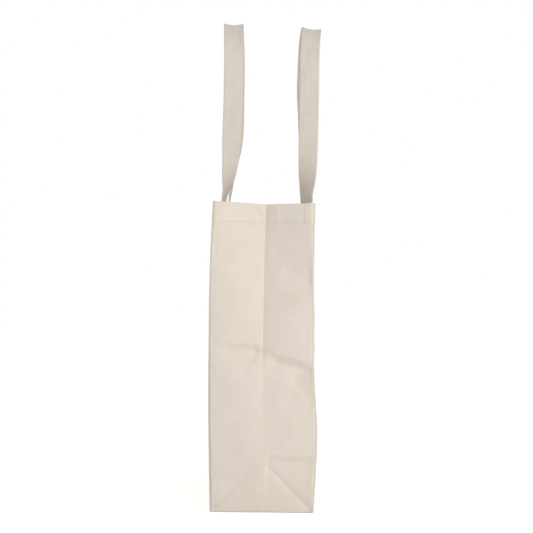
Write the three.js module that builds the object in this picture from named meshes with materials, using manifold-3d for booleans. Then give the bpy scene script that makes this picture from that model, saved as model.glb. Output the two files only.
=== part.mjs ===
// A plain cotton tote bag that stands open: two large panels, a base and two side gussets
// sewn into a box, with a turned hem round the mouth and two webbing handles.
// Millimetres, +Z up. The front panel faces -Y, and the bag rests on Z = 0.
import * as THREE from "three";
import { mergeVertices } from "three/addons/utils/BufferGeometryUtils.js";
import Module from "manifold-3d";

const kernel = await Module();
kernel.setup();
const { Manifold, Mesh } = kernel;

// Driving dimensions of the cloth
const BAG_WIDTH = 356; // outside, from gusset to gusset
const BAG_DEPTH = 127; // outside, from front panel to rear panel
const BAG_HEIGHT = 370; // floor to rim
const CLOTH_THICKNESS = 0.7;
const HEM_DEPTH = 25;
const GUSSET_TUCK = 19; // how far the gusset's middle crease is folded in at the hem
const FRONT_BOW = 6.5; // how far the middle of the front hem is drawn in
const REAR_BOW = 5.5; // the same at the rear hem
const SEAM_ALLOWANCE = 10;

// Driving dimensions of the handles
const STRAP_WIDTH = 25;
const STRAP_THICKNESS = 1.6;
const HANDLE_RISE = 245; // rim to the top of the loop
const HANDLE_SPACING = 140; // between the middles of a loop's two legs
const TWIST_LENGTH = 70; // the part of a leg that turns a quarter round above the rim
const FRONT_INSET = 13; // how far the turned strap's middle stands inside its sewn end
const REAR_INSET = 0.5; // the same on the rear handle

// Driving dimensions of the sewing
const THREAD_WIDTH = 0.9;
const THREAD_THICKNESS = 0.5;
const STITCH_INSET = 4; // from a seam or fold to the row of stitches beside it
const OVERLOCK_WIDTH = 4;
const SEAM_GAP = 0.3; // between two pieces of cloth that are sewn together
const THREAD_GAP = 0.15; // between a row of stitches and the cloth under it

// Facets of the curved stretches
const GUSSET_COLUMNS = 12;
const GUSSET_FOOT_ROWS = 3;
const GUSSET_FOLD_ROWS = 18;
const PANEL_BOW_ROWS = 8;
const PANEL_BOW_COLUMNS = 6;
const TWIST_STEPS = 14;
const LEG_STEPS = 3;
const BEND_STEPS = 28;

// Derived sizes
const HALF_WIDTH = BAG_WIDTH / 2;
const HALF_DEPTH = BAG_DEPTH / 2;
const HEM_THICKNESS = 2 * CLOTH_THICKNESS;
const HEM_FOOT = BAG_HEIGHT - HEM_DEPTH;
const GUSSET_HALF = HALF_DEPTH - CLOTH_THICKNESS - SEAM_GAP;
const CREASE_FOOT = HALF_DEPTH; // the folded triangle at the gusset's foot has 45 degree sides
const ALLOWANCE_FOOT = CLOTH_THICKNESS + SEAM_GAP;
const ALLOWANCE_TOP = HEM_FOOT - SEAM_GAP;
const HEM_ROW = HEM_FOOT + STITCH_INSET;
const BOW_EDGE = HALF_WIDTH - SEAM_ALLOWANCE - SEAM_GAP;
const BOW_MIDDLE = HANDLE_SPACING / 2 + STRAP_WIDTH / 2 + STITCH_INSET;
const STRAP_SEAT = HALF_DEPTH - HEM_THICKNESS - SEAM_GAP;
const LEG_OFFSET = HANDLE_SPACING / 2;
const LEG_HEIGHT = HANDLE_RISE - LEG_OFFSET - STRAP_THICKNESS / 2;

const cloth = new THREE.MeshStandardMaterial({ name: "canvas", color: 0xddd3c2, roughness: 0.92 });
const webbing = new THREE.MeshStandardMaterial({ name: "webbing", color: 0xd4c9b7, roughness: 0.9 });
const thread = new THREE.MeshStandardMaterial({ name: "thread", color: 0xe4dccd, roughness: 0.8 });

// A solid rectangular bar between two corners.
function bar(from, to) {
  const size = [to[0] - from[0], to[1] - from[1], to[2] - from[2]];
  const shape = new THREE.BoxGeometry(...size);
  return shape.translate(from[0] + size[0] / 2, from[1] + size[1] / 2, from[2] + size[2] / 2);
}

// A closed sheet over a grid of places. The place is given by two grid values and by the depth
// below the sheet's outer face, and the sheet fills the depths between its two faces.
function sheet(us, vs, place, outer, inner) {
  const points = [];
  for (const depth of [outer, inner]) {
    for (const u of us) {
      for (const v of vs) {
        points.push(...place(u, v, depth).toArray());
      }
    }
  }
  const under = us.length * vs.length;
  const at = (i, j) => i * vs.length + j;
  const index = [];
  const quad = (a, b, c, d) => index.push(a, b, c, a, c, d);
  for (let i = 0; i + 1 < us.length; i++) {
    for (let j = 0; j + 1 < vs.length; j++) {
      const corners = [at(i, j), at(i + 1, j), at(i + 1, j + 1), at(i, j + 1)];
      quad(...corners);
      quad(...corners.reverse().map((k) => k + under));
    }
  }
  const edge = (a, b) => quad(b, a, a + under, b + under);
  for (let i = 0; i + 1 < us.length; i++) {
    edge(at(i, 0), at(i + 1, 0));
    edge(at(i + 1, vs.length - 1), at(i, vs.length - 1));
  }
  for (let j = 0; j + 1 < vs.length; j++) {
    edge(at(us.length - 1, j), at(us.length - 1, j + 1));
    edge(at(0, j + 1), at(0, j));
  }
  const shape = new THREE.BufferGeometry();
  shape.setAttribute("position", new THREE.Float32BufferAttribute(points, 3));
  return shape.setIndex(index);
}

function spread(from, to, steps) {
  return Array.from({ length: steps + 1 }, (_, i) => from + ((to - from) * i) / steps);
}

function toSolid(shape) {
  const bare = new THREE.BufferGeometry();
  bare.setAttribute("position", shape.getAttribute("position"));
  const whole = mergeVertices(bare.setIndex(shape.getIndex()), 1e-4);
  return new Manifold(
    new Mesh({
      numProp: 3,
      vertProperties: new Float32Array(whole.getAttribute("position").array),
      triVerts: new Uint32Array(whole.getIndex().array),
    }),
  );
}

function fromSolid(solid) {
  const mesh = solid.getMesh();
  const shape = new THREE.BufferGeometry();
  shape.setAttribute("position", new THREE.Float32BufferAttribute(mesh.vertProperties, 3));
  return shape.setIndex(Array.from(mesh.triVerts));
}

// Several overlapping pieces of the same cloth or thread as one solid.
function joined(...shapes) {
  return fromSolid(shapes.map(toSolid).reduce((whole, next) => whole.add(next)));
}

function piece(name, shape, material) {
  const mesh = new THREE.Mesh(shape, material);
  mesh.name = name;
  mesh.geometry.computeVertexNormals();
  return mesh;
}

// How far a height is on the way from the top of the base's folds, 0, to the hem, 1.
function climb(z) {
  return THREE.MathUtils.clamp((z - CREASE_FOOT) / (HEM_FOOT - CREASE_FOOT), 0, 1);
}

// The outer face of the front panel, drawn in at the middle of its hem by its bow. It is flat round
// the strap ends, and straight at the corners, where the gussets' seam allowances lie on it.
function panelPlace(bow) {
  return (x, z, depth) => {
    const across = 1 - THREE.MathUtils.smoothstep(Math.abs(x), BOW_MIDDLE, BOW_EDGE);
    const up = THREE.MathUtils.smoothstep(climb(z), 0, 1);
    return new THREE.Vector3(x, bow * across * up + depth - HALF_DEPTH, z);
  };
}

// The panel's columns between two mirrored ends.
function panelColumns(end) {
  const half = [...spread(BOW_MIDDLE, BOW_EDGE, PANEL_BOW_COLUMNS), end];
  return [...half.map((x) => -x).reverse(), ...half];
}

// A large panel: one layer of cloth, and a second one where the hem is turned in. The hem's turned
// layer stops short of the corners, where the gusset's own hem stands.
function panelShape(bow) {
  const heights = [0, ...spread(CREASE_FOOT, HEM_FOOT, PANEL_BOW_ROWS), BAG_HEIGHT];
  const turned = HALF_WIDTH - HEM_THICKNESS - SEAM_GAP;
  const place = panelPlace(bow);
  return joined(
    sheet(panelColumns(HALF_WIDTH), heights, place, 0, CLOTH_THICKNESS),
    sheet(panelColumns(turned), [HEM_FOOT, BAG_HEIGHT], place, CLOTH_THICKNESS / 2, HEM_THICKNESS),
  );
}

function panelHemStitching(bow) {
  const rows = [HEM_ROW - THREAD_WIDTH / 2, HEM_ROW + THREAD_WIDTH / 2];
  const columns = panelColumns(HALF_WIDTH - STITCH_INSET);
  return sheet(columns, rows, panelPlace(bow), -THREAD_GAP - THREAD_THICKNESS, -THREAD_GAP);
}

// The outer face of the gusset on the +X side: flat at its foot, and folded in along the middle
// crease, deepest at the hem.
function gussetPlace(y, z, depth) {
  const fold = GUSSET_TUCK * climb(z) * (1 - Math.abs(y) / GUSSET_HALF);
  return new THREE.Vector3(HALF_WIDTH - fold - depth, y, z);
}

function gussetShape() {
  const across = spread(-GUSSET_HALF, GUSSET_HALF, GUSSET_COLUMNS);
  const foot = spread(0, CREASE_FOOT, GUSSET_FOOT_ROWS);
  const heights = [...foot, ...spread(CREASE_FOOT, HEM_FOOT, GUSSET_FOLD_ROWS).slice(1), BAG_HEIGHT];
  const web = sheet(across, heights, gussetPlace, 0, CLOTH_THICKNESS);
  const hem = sheet(across, [HEM_FOOT, BAG_HEIGHT], gussetPlace, CLOTH_THICKNESS / 2, HEM_THICKNESS);
  const allowances = [-1, 1].map((side) => {
    const faces = [side * GUSSET_HALF, side * (GUSSET_HALF - CLOTH_THICKNESS)].sort((a, b) => a - b);
    return bar(
      [HALF_WIDTH - SEAM_ALLOWANCE, faces[0], ALLOWANCE_FOOT],
      [HALF_WIDTH - CLOTH_THICKNESS / 2, faces[1], ALLOWANCE_TOP],
    );
  });
  return joined(web, hem, ...allowances);
}

function gussetHemStitching() {
  const reach = GUSSET_HALF - STITCH_INSET;
  const rows = [HEM_ROW - THREAD_WIDTH / 2, HEM_ROW + THREAD_WIDTH / 2];
  return sheet([-reach, 0, reach], rows, gussetPlace, -THREAD_GAP - THREAD_THICKNESS, -THREAD_GAP);
}

// The row of stitches on the gusset beside a corner seam; the side is -1 at the front.
function cornerStitching(side) {
  const middle = side * (GUSSET_HALF - STITCH_INSET);
  const rows = [middle - THREAD_WIDTH / 2, middle + THREAD_WIDTH / 2];
  const heights = [STITCH_INSET, ...spread(CREASE_FOOT, HEM_FOOT, GUSSET_FOLD_ROWS)];
  return sheet(rows, heights, gussetPlace, -THREAD_GAP - THREAD_THICKNESS, -THREAD_GAP);
}

// The overlocked edge of the seam allowance inside a corner; the side is -1 at the front.
function overlock(side) {
  const near = GUSSET_HALF - CLOTH_THICKNESS - THREAD_GAP;
  const faces = [side * near, side * (near - THREAD_THICKNESS)].sort((a, b) => a - b);
  const start = HALF_WIDTH - SEAM_ALLOWANCE;
  const foot = ALLOWANCE_FOOT + CLOTH_THICKNESS;
  return bar([start, faces[0], foot], [start + OVERLOCK_WIDTH, faces[1], ALLOWANCE_TOP]);
}

// The sewn end of a strap, flat on the inside of the front hem.
function strapEnd(middle, bow) {
  const seat = bow - STRAP_SEAT;
  return bar(
    [middle - STRAP_WIDTH / 2, seat, HEM_FOOT + SEAM_GAP],
    [middle + STRAP_WIDTH / 2, seat + STRAP_THICKNESS, BAG_HEIGHT - SEAM_GAP],
  );
}

// The square of stitches with a cross in it that holds a strap's end, on the outside of the hem.
function tack(middle, bow) {
  const half = STRAP_WIDTH / 2 - THREAD_WIDTH;
  const foot = HEM_ROW + 2 * THREAD_WIDTH;
  const head = BAG_HEIGHT - 3 * THREAD_WIDTH;
  const near = bow - HALF_DEPTH - THREAD_GAP;
  const far = near - THREAD_THICKNESS;
  const wide = THREAD_WIDTH / 2;
  const rail = (z) => bar([middle - half, far, z - wide], [middle + half, near, z + wide]);
  const post = (x) => bar([x - wide, far, foot], [x + wide, near, head]);
  const cross = [-1, 1].map((lean) => {
    const long = Math.hypot(2 * half, head - foot);
    const tilt = lean * Math.atan2(head - foot, 2 * half);
    const stroke = bar([-long / 2, far, -wide], [long / 2, near, wide]);
    return stroke.rotateY(tilt).translate(middle, 0, (foot + head) / 2);
  });
  return joined(rail(foot), rail(head), post(middle - half), post(middle + half), ...cross);
}

// The front handle's free loop: each leg leaves the hem flat along the panel, turns a quarter round
// as it moves in by its inset, and the two legs meet in a half circle with the strap's flat side up.
function handleShape(bow, inset) {
  const seat = bow - STRAP_SEAT + STRAP_THICKNESS / 2;
  const top = BAG_HEIGHT + LEG_HEIGHT;
  const straight = spread(TWIST_LENGTH, LEG_HEIGHT, LEG_STEPS).slice(1);
  const leg = [...spread(0, TWIST_LENGTH, TWIST_STEPS), ...straight];
  const stations = [];
  const station = (side, height) => {
    const turn = THREE.MathUtils.smoothstep(height, 0, TWIST_LENGTH);
    const angle = (turn * Math.PI) / 2;
    stations.push({
      middle: new THREE.Vector3(side * LEG_OFFSET, seat + inset * Math.sin(angle), BAG_HEIGHT + height),
      across: new THREE.Vector3(side * Math.cos(angle), -Math.sin(angle), 0),
      out: new THREE.Vector3(side * Math.sin(angle), Math.cos(angle), 0),
    });
  };
  leg.forEach((height) => station(1, height));
  spread(0, Math.PI, BEND_STEPS)
    .slice(1, -1)
    .forEach((angle) => {
      const out = new THREE.Vector3(Math.cos(angle), 0, Math.sin(angle));
      const middle = out.clone().multiplyScalar(LEG_OFFSET);
      middle.add(new THREE.Vector3(0, seat + inset, top));
      stations.push({ middle, across: new THREE.Vector3(0, -1, 0), out });
    });
  leg.reverse().forEach((height) => station(-1, height));
  const place = (i, v, depth) => {
    const { middle, across, out } = stations[i];
    return middle.clone().addScaledVector(across, v).addScaledVector(out, STRAP_THICKNESS / 2 - depth);
  };
  return sheet([...stations.keys()], [-STRAP_WIDTH / 2, STRAP_WIDTH / 2], place, 0, STRAP_THICKNESS);
}

// One large panel with all that is sewn to it, as it stands at the front. The two corners are named
// by the bag's own left (-X) and right (+X) once the side is turned to its place.
function panelSide(name, corners, bow, inset) {
  const side = new THREE.Group();
  side.add(piece(`${name}_panel`, panelShape(bow), cloth));
  side.add(piece(`${name}_handle`, handleShape(bow, inset), webbing));
  side.add(piece(`${name}_hem_stitching`, panelHemStitching(bow), thread));
  corners.forEach((corner, i) => {
    const hand = 2 * i - 1;
    side.add(piece(`${name}_${corner}_handle_end`, strapEnd(hand * LEG_OFFSET, bow), webbing));
    side.add(piece(`${name}_${corner}_tack`, tack(hand * LEG_OFFSET, bow), thread));
    const seam = new THREE.Group();
    seam.rotation.z = hand > 0 ? 0 : Math.PI;
    seam.add(piece(`${name}_${corner}_corner_stitching`, cornerStitching(-hand), thread));
    seam.add(piece(`${name}_${corner}_overlock`, overlock(-hand), thread));
    side.add(seam);
  });
  return side;
}

function gussetSide(name) {
  const side = new THREE.Group();
  side.add(piece(`${name}_gusset`, gussetShape(), cloth));
  side.add(piece(`${name}_hem_stitching`, gussetHemStitching(), thread));
  return side;
}

function baseShape() {
  const reach = HALF_WIDTH - CLOTH_THICKNESS - SEAM_GAP;
  return bar([-reach, -GUSSET_HALF, 0], [reach, GUSSET_HALF, CLOTH_THICKNESS]);
}

// The row of stitches that runs round the inside of the base.
function baseStitching() {
  const frame = (inset) => {
    const x = HALF_WIDTH - CLOTH_THICKNESS - SEAM_GAP - inset;
    const y = GUSSET_HALF - inset;
    return [
      new THREE.Vector2(-x, -y),
      new THREE.Vector2(x, -y),
      new THREE.Vector2(x, y),
      new THREE.Vector2(-x, y),
    ];
  };
  const ring = new THREE.Shape(frame(STITCH_INSET));
  ring.holes.push(new THREE.Path(frame(STITCH_INSET + THREAD_WIDTH)));
  const shape = new THREE.ExtrudeGeometry(ring, { depth: THREAD_THICKNESS, bevelEnabled: false });
  return shape.translate(0, 0, CLOTH_THICKNESS + THREAD_GAP);
}

const bag = new THREE.Group();
bag.name = "tote_bag";
bag.add(piece("base_panel", baseShape(), cloth));
bag.add(piece("base_stitching", baseStitching(), thread));
bag.add(panelSide("front", ["left", "right"], FRONT_BOW, FRONT_INSET));
const rear = panelSide("rear", ["right", "left"], REAR_BOW, REAR_INSET);
rear.rotation.z = Math.PI;
bag.add(rear);
bag.add(gussetSide("right"));
const left = gussetSide("left");
left.rotation.z = Math.PI;
bag.add(left);

export default bag;
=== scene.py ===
# %% [markdown]
# # A plain cotton tote bag
#
# The bag is sewn from five pieces of undyed cotton: a front panel, a rear panel, a base and two side
# gussets that are pressed inwards at the mouth. A turned hem runs round the rim, and two loops of cotton
# tape are sewn inside it as handles. The measured frame holds every piece as a plain solid in its real
# place. This lesson dresses that frame: each plate becomes a thin cloth with folds, a hem, stitches and a
# woven finish.

# %% Load the measured frame
import math

import bpy
import numpy as np
from mathutils import Matrix, Vector


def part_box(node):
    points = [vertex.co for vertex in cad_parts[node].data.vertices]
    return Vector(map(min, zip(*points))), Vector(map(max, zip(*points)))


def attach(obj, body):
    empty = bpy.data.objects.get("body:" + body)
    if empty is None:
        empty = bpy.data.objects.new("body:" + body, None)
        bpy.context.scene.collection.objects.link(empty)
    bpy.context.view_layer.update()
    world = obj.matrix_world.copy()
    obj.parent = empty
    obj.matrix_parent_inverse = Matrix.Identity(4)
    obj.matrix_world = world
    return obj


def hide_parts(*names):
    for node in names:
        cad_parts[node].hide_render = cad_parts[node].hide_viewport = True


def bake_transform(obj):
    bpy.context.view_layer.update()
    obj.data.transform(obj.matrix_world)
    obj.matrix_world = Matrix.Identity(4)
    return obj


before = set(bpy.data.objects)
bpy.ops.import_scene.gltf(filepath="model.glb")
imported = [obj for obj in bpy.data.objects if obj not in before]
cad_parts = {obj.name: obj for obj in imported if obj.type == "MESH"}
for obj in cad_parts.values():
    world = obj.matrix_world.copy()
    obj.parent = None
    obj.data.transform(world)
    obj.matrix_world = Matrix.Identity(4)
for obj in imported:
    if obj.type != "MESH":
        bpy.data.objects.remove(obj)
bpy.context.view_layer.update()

MM = 0.001


def added(name, data):
    """A new object in the scene."""
    made = bpy.data.objects.new(name, data)
    bpy.context.collection.objects.link(made)
    return made


# %% [markdown]
# ## Sizes
#
# Lengths are in millimetres while a shape is worked out, because cloth is measured so, and become metres
# when a mesh is made. The driving sizes are read off the frame's nodes, so that the cloth always fits its
# frame.

# %% Read the driving sizes off the frame


def corners(node):
    """The lowest and the highest corner of a node, in millimetres."""
    low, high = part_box(node)
    return np.array(low) / MM, np.array(high) / MM


panel_low, panel_high = corners("front_panel")
base_low, base_high = corners("base_panel")
end_low, end_high = corners("front_right_handle_end")

SEAM_GAP = 0.3
HALF_WIDTH = panel_high[0]
HALF_DEPTH = -panel_low[1]
RIM = panel_high[2]
CLOTH = base_high[2] - base_low[2]
HEM = 2 * CLOTH
HEM_FOOT = end_low[2] - SEAM_GAP
ALLOWANCE = 10.0
STITCH_INSET = 4.0
ROW_DROP = 1.0
HEM_ROW = HEM_FOOT + STITCH_INSET - ROW_DROP
TUCK = HALF_WIDTH - corners("right_hem_stitching")[0][0]
TUCK_FOOT = HALF_DEPTH
TAPE_WIDTH = end_high[0] - end_low[0]
TAPE = end_high[1] - end_low[1]
LEG = (end_low[0] + end_high[0]) / 2
CREST = corners("front_handle")[1][2]
SIGN = {"front": -1, "rear": 1}
HAND = {"left": -1, "right": 1}
SEAT = {}
for side in SIGN:
    SEAT[side] = abs(np.mean([corner[1] for corner in corners(f"{side}_right_handle_end")]))
BOW = {side: HALF_DEPTH - HEM - SEAM_GAP - SEAT[side] - TAPE / 2 for side in SIGN}
print(f"bag {2 * HALF_WIDTH:.0f} x {2 * HALF_DEPTH:.0f} x {RIM:.0f} mm, tape {TAPE_WIDTH:.0f} mm, bow {BOW}")

# %% [markdown]
# ## The camera
#
# The photograph looks straight at one gusset, at about four fifths of the bag's height. Its distance is
# chosen: a metre and a half gives the tape the width that it has in the picture. A pixel is 1.198 mm on the
# gusset, which sets the focal length. The picture is also turned by less than a degree: the rim and the
# foot both slope down to the right. A small roll of the camera gives that, where bending the bag to suit
# would spoil it from every other side.

# %% Place the camera
IMAGE_SIDE = 533
PIXEL_ON_GUSSET = 1.198
CAMERA_DISTANCE = 1500.0
CAMERA_HEIGHT = 294.6
CAMERA_OFFSET = 2.8
CAMERA_ROLL = math.radians(0.7)
SENSOR = 36.0

camera_data = bpy.data.cameras.new("camera")
camera_data.sensor_width = SENSOR
camera_data.lens = SENSOR * CAMERA_DISTANCE / (IMAGE_SIDE * PIXEL_ON_GUSSET)
camera = added("camera", camera_data)
camera.location = ((HALF_WIDTH + CAMERA_DISTANCE) * MM, CAMERA_OFFSET * MM, CAMERA_HEIGHT * MM)
level = Matrix.Rotation(math.pi / 2, 3, "Z") @ Matrix.Rotation(math.pi / 2, 3, "X")
camera.rotation_euler = (level @ Matrix.Rotation(CAMERA_ROLL, 3, "Z")).to_euler()
bpy.context.scene.camera = camera
print(f"lens {camera_data.lens:.1f} mm")

# %% [markdown]
# ## Writing a finish as Python
#
# A material in Blender is a graph of nodes. Wiring each Math node by hand is slow to read, so a small class
# stands for one socket and lets Python's operators add the Math nodes. Every other node comes from one
# method that takes the node's type, its settings and what goes into its sockets.

# %% A socket that understands arithmetic


class Value:
    """One output socket of a finish. Arithmetic on it adds Math nodes."""

    def __init__(self, finish, socket):
        self.finish = finish
        self.socket = socket

    def maths(self, operation, *values):
        return self.finish.node("Math", {"operation": operation}, dict(enumerate(values)))

    def __add__(self, other):
        return self.maths("ADD", self, other)

    def __radd__(self, other):
        return self.maths("ADD", other, self)

    def __sub__(self, other):
        return self.maths("SUBTRACT", self, other)

    def __rsub__(self, other):
        return self.maths("SUBTRACT", other, self)

    def __mul__(self, other):
        return self.maths("MULTIPLY", self, other)

    def __rmul__(self, other):
        return self.maths("MULTIPLY", other, self)

    def __lt__(self, other):
        return self.maths("LESS_THAN", self, other)

    def __abs__(self):
        return self.maths("ABSOLUTE", self)

    def sine(self):
        return self.maths("SINE", self)

    def larger(self, other):
        return self.maths("MAXIMUM", self, other)

    def zigzag(self, width):
        return self.maths("PINGPONG", self, width)

    def between(self, low, high):
        """0 below low, 1 above high and a smooth rise between them."""
        sockets = {"Value": self, "From Min": low, "From Max": high}
        return self.finish.node("MapRange", {"interpolation_type": "SMOOTHSTEP"}, sockets)


class Finish:
    """The node graph of a material or of the world."""

    def __init__(self, owner):
        owner.use_nodes = True
        self.owner = owner
        self.tree = owner.node_tree
        self.tree.nodes.clear()

    def node(self, kind, settings=None, sockets=None, output=0):
        made = self.tree.nodes.new("ShaderNode" + kind)
        for name, setting in (settings or {}).items():
            setattr(made, name, setting)
        for name, value in (sockets or {}).items():
            if isinstance(value, Value):
                self.tree.links.new(value.socket, made.inputs[name])
            else:
                made.inputs[name].default_value = value
        return Value(self, made.outputs[output]) if made.outputs else None

    def stretched(self, vector, *scales):
        """The same coordinates with each axis scaled by its own number."""
        return self.node("VectorMath", {"operation": "MULTIPLY"}, {0: vector, 1: scales})

    def mixed(self, factor, first, second):
        """A colour between two colours."""
        return self.node("Mix", {"data_type": "RGBA"}, {0: factor, 6: first, 7: second}, output=2)


print("finish helpers are ready")

# %% [markdown]
# ## Cotton cloth
#
# The cloth is undyed plain-weave cotton. Seen from a step away it is a warm off-white with fine streaks
# where a yarn is thicker, a slight cloudiness, and a few brown flecks of seed husk. Close up each crossing
# of the yarns is a small pillow. All of it is drawn in the cloth's own flat coordinates, in metres, so that
# the weave follows every fold. The weave itself is far too fine to model, so it is the one thing left to a
# bump.

# %% The coordinates and streaks that both cloth and tape share
FLAT_MAP = "flat"


def flat_coordinates(finish):
    """The position on the flat piece in metres: as a vector, across and along."""
    place = finish.node("UVMap", {"uv_map": FLAT_MAP})
    across = finish.node("SeparateXYZ", None, {0: place})
    along = finish.node("SeparateXYZ", None, {0: place}, output=1)
    return place, across, along


def cloud(finish, place, across_size, along_size, detail=2.0):
    """Soft noise whose patches have the given size in metres, about 0 on average."""
    vector = finish.stretched(place, 1 / across_size, 1 / along_size, 1)
    sockets = {"Vector": vector, "Scale": 1.0, "Detail": detail}
    return finish.node("TexNoise", {"noise_dimensions": "2D"}, sockets) - 0.5


def flecks(finish, place, cell, size, share):
    """A few small husk flecks: 1 inside a fleck and 0 elsewhere."""
    vector = finish.stretched(place, 1 / cell, 0.6 / cell, 1)
    settings = {"voronoi_dimensions": "2D"}
    distance = finish.node("TexVoronoi", settings, {"Vector": vector, "Scale": 1.0})
    tint = finish.node("TexVoronoi", settings, {"Vector": vector, "Scale": 1.0}, output=1)
    chosen = finish.node("SeparateColor", None, {0: tint}) < share
    return (1 - distance.between(0.4 * size / cell, size / cell)) * chosen


def fabric(finish, colour, height, roughness, bump_depth):
    """A matte, slightly fuzzy surface with the given colour and relief."""
    normal = finish.node("Bump", None, {"Strength": 1.0, "Distance": bump_depth, "Height": height})
    shader = finish.node("BsdfPrincipled", None, {
        "Base Color": colour,
        "Roughness": roughness,
        "Specular IOR Level": 0.25,
        "Sheen Weight": 0.12,
        "Sheen Roughness": 0.5,
        "Normal": normal,
    })
    finish.node("OutputMaterial", None, {"Surface": shader})
    return finish.owner


# %% Undyed cotton cloth
YARN = 0.0006
CANVAS_DARK = (0.685, 0.617, 0.528, 1)
CANVAS_LIGHT = (0.785, 0.718, 0.630, 1)
HUSK = (0.36, 0.26, 0.17, 1)


def cotton_cloth():
    finish = Finish(bpy.data.materials.new("cotton_cloth"))
    place, across, along = flat_coordinates(finish)
    warp = cloud(finish, place, 0.0011, 0.018)
    weft = cloud(finish, place, 0.018, 0.0012)
    patches = cloud(finish, place, 0.030, 0.030, detail=4.0)
    tone = 0.5 + 0.42 * warp + 0.42 * weft + 0.6 * patches
    husk = flecks(finish, place, 0.018, 0.0006, 0.25)
    colour = finish.mixed(0.3 * husk, finish.mixed(tone, CANVAS_DARK, CANVAS_LIGHT), HUSK)
    pillows = abs((across * (math.pi / YARN)).sine() * (along * (math.pi / YARN)).sine())
    height = 0.6 * pillows + warp + weft
    return fabric(finish, colour, height, 0.86 + 0.1 * patches, 0.00012)


CANVAS = cotton_cloth()
print("finish:", CANVAS.name)

# %% [markdown]
# ## Handle tape and thread
#
# The handles are heavy woven tape, a little darker than the cloth, with a herringbone of raised ribs that
# runs in narrow columns along the tape. A zigzag of the across coordinate bends straight ribs into the
# chevrons. Its colour is darkened along both edges, as painted shade. The thread is the same cotton, twisted,
# so it has fine slanted ribs of its own.

# %% Herringbone tape
CHEVRON = 0.0031
RIB = 0.0027
RIB_SLOPE = 1.1
PAINTED_EDGE_SHADE = 0.0016
TAPE_DARK = (0.628, 0.556, 0.474, 1)
TAPE_LIGHT = (0.793, 0.729, 0.651, 1)


def herringbone_tape():
    finish = Finish(bpy.data.materials.new("herringbone_tape"))
    place, across, along = flat_coordinates(finish)
    bent = along + RIB_SLOPE * across.zigzag(CHEVRON)
    rib = (bent * (math.tau / RIB)).sine()
    column = abs((across * (math.pi / CHEVRON)).sine())
    streaks = cloud(finish, place, 0.0011, 0.060)
    patches = cloud(finish, place, 0.012, 0.030, detail=4.0)
    from_edge = across.zigzag(TAPE_WIDTH * MM / 2)
    # The last term darkens the tone along both edges of the tape: painted shade where the edges roll away.
    tone = 0.55 + 0.36 * rib + 0.5 * streaks + 0.6 * patches - 0.3 * (1 - from_edge.between(0, PAINTED_EDGE_SHADE))
    husk = flecks(finish, place, 0.012, 0.0007, 0.16)
    colour = finish.mixed(0.6 * husk, finish.mixed(tone, TAPE_DARK, TAPE_LIGHT), HUSK)
    height = 0.9 * rib + 0.35 * column + 0.6 * streaks
    return fabric(finish, colour, height, 0.86 + 0.1 * patches, 0.00016)


WEBBING = herringbone_tape()
print("finish:", WEBBING.name)

# %% Twisted thread
TWIST = 0.0007
THREAD_DARK = (0.68, 0.61, 0.52, 1)
THREAD_LIGHT = (0.80, 0.735, 0.645, 1)


def twisted_thread():
    finish = Finish(bpy.data.materials.new("twisted_thread"))
    place, across, along = flat_coordinates(finish)
    ply = ((across + along) * (math.tau / TWIST)).sine()
    tone = 0.55 + 0.3 * ply + 0.5 * cloud(finish, place, 0.004, 0.004)
    colour = finish.mixed(tone, THREAD_DARK, THREAD_LIGHT)
    return fabric(finish, colour, ply, 0.72 + 0.06 * ply, 0.00008)


THREAD = twisted_thread()
print("finish:", THREAD.name)

# %% [markdown]
# ## Shaping cloth with functions
#
# Cloth could be simulated, but the photograph shows where each fold of this bag lies, and a simulation
# can't be told that. So each sheet is a function that turns a place on the sheet into a place in space, and
# folds are terms that are added to it. A few small tools are enough: a smooth rise, a smooth curve through
# chosen stops, soft random waves, a crease pressed along a line, and a ledge where cloth leans in above a
# line.

# %% Smooth rises, curves through stops, waves and creases
WAVES = 5
CREASE_ROUND = 0.7


def ease(at, start, end):
    """A smooth rise from 0 at start to 1 at end."""
    part = np.clip((at - start) / (end - start), 0, 1)
    return part * part * (3 - 2 * part)


def through(at, stops):
    """A smooth curve through (place, value) stops that stays level beyond the outer ones."""
    places, values = np.array(stops, float).T
    slopes = np.gradient(values, places)
    at = np.clip(at, places[0], places[-1])
    left = np.clip(np.searchsorted(places, at, side="right") - 1, 0, len(places) - 2)
    gap = places[left + 1] - places[left]
    part = (at - places[left]) / gap
    rise = part * part * (3 - 2 * part)
    pull = slopes[left] * part * (1 - part) ** 2 - slopes[left + 1] * part * part * (1 - part)
    return values[left] + (values[left + 1] - values[left]) * rise + gap * pull


def waves(seed, length, across, up):
    """Soft random waves of about the given length, between about -1 and 1."""
    random = np.random.default_rng(seed)
    total = 0
    for _ in range(WAVES):
        heading = random.uniform(0, math.tau)
        stretch = length * random.uniform(0.7, 1.4)
        phase = random.uniform(0, math.tau)
        along = math.cos(heading) * across + math.sin(heading) * up
        total = total + np.sin(math.tau * along / stretch + phase)
    return total / WAVES


def soft_waves(seed, table, across, up):
    """The sum of waves of several (height, length), each with a seed of its own."""
    total = 0
    for number, (height, length) in enumerate(table):
        total = total + height * waves(seed + number, length, across, up)
    return total


def beside(across, up, line):
    """The distance from a line of points, the side (1 is left), the way along it and its length."""
    line = np.array(line, float)
    nearest = np.full(np.shape(across), np.inf)
    hand = np.ones_like(nearest)
    along = np.zeros_like(nearest)
    travelled = 0
    for start, step in zip(line, np.diff(line, axis=0)):
        length = np.hypot(*step)
        to_across, to_up = across - start[0], up - start[1]
        part = np.clip((to_across * step[0] + to_up * step[1]) / length ** 2, 0, 1)
        away = np.hypot(to_across - part * step[0], to_up - part * step[1])
        closer = away < nearest
        nearest = np.where(closer, away, nearest)
        hand = np.where(closer, np.where(step[0] * to_up > step[1] * to_across, 1, -1), hand)
        along = np.where(closer, travelled + part * length, along)
        travelled += length
    return nearest, hand, along, travelled


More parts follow.
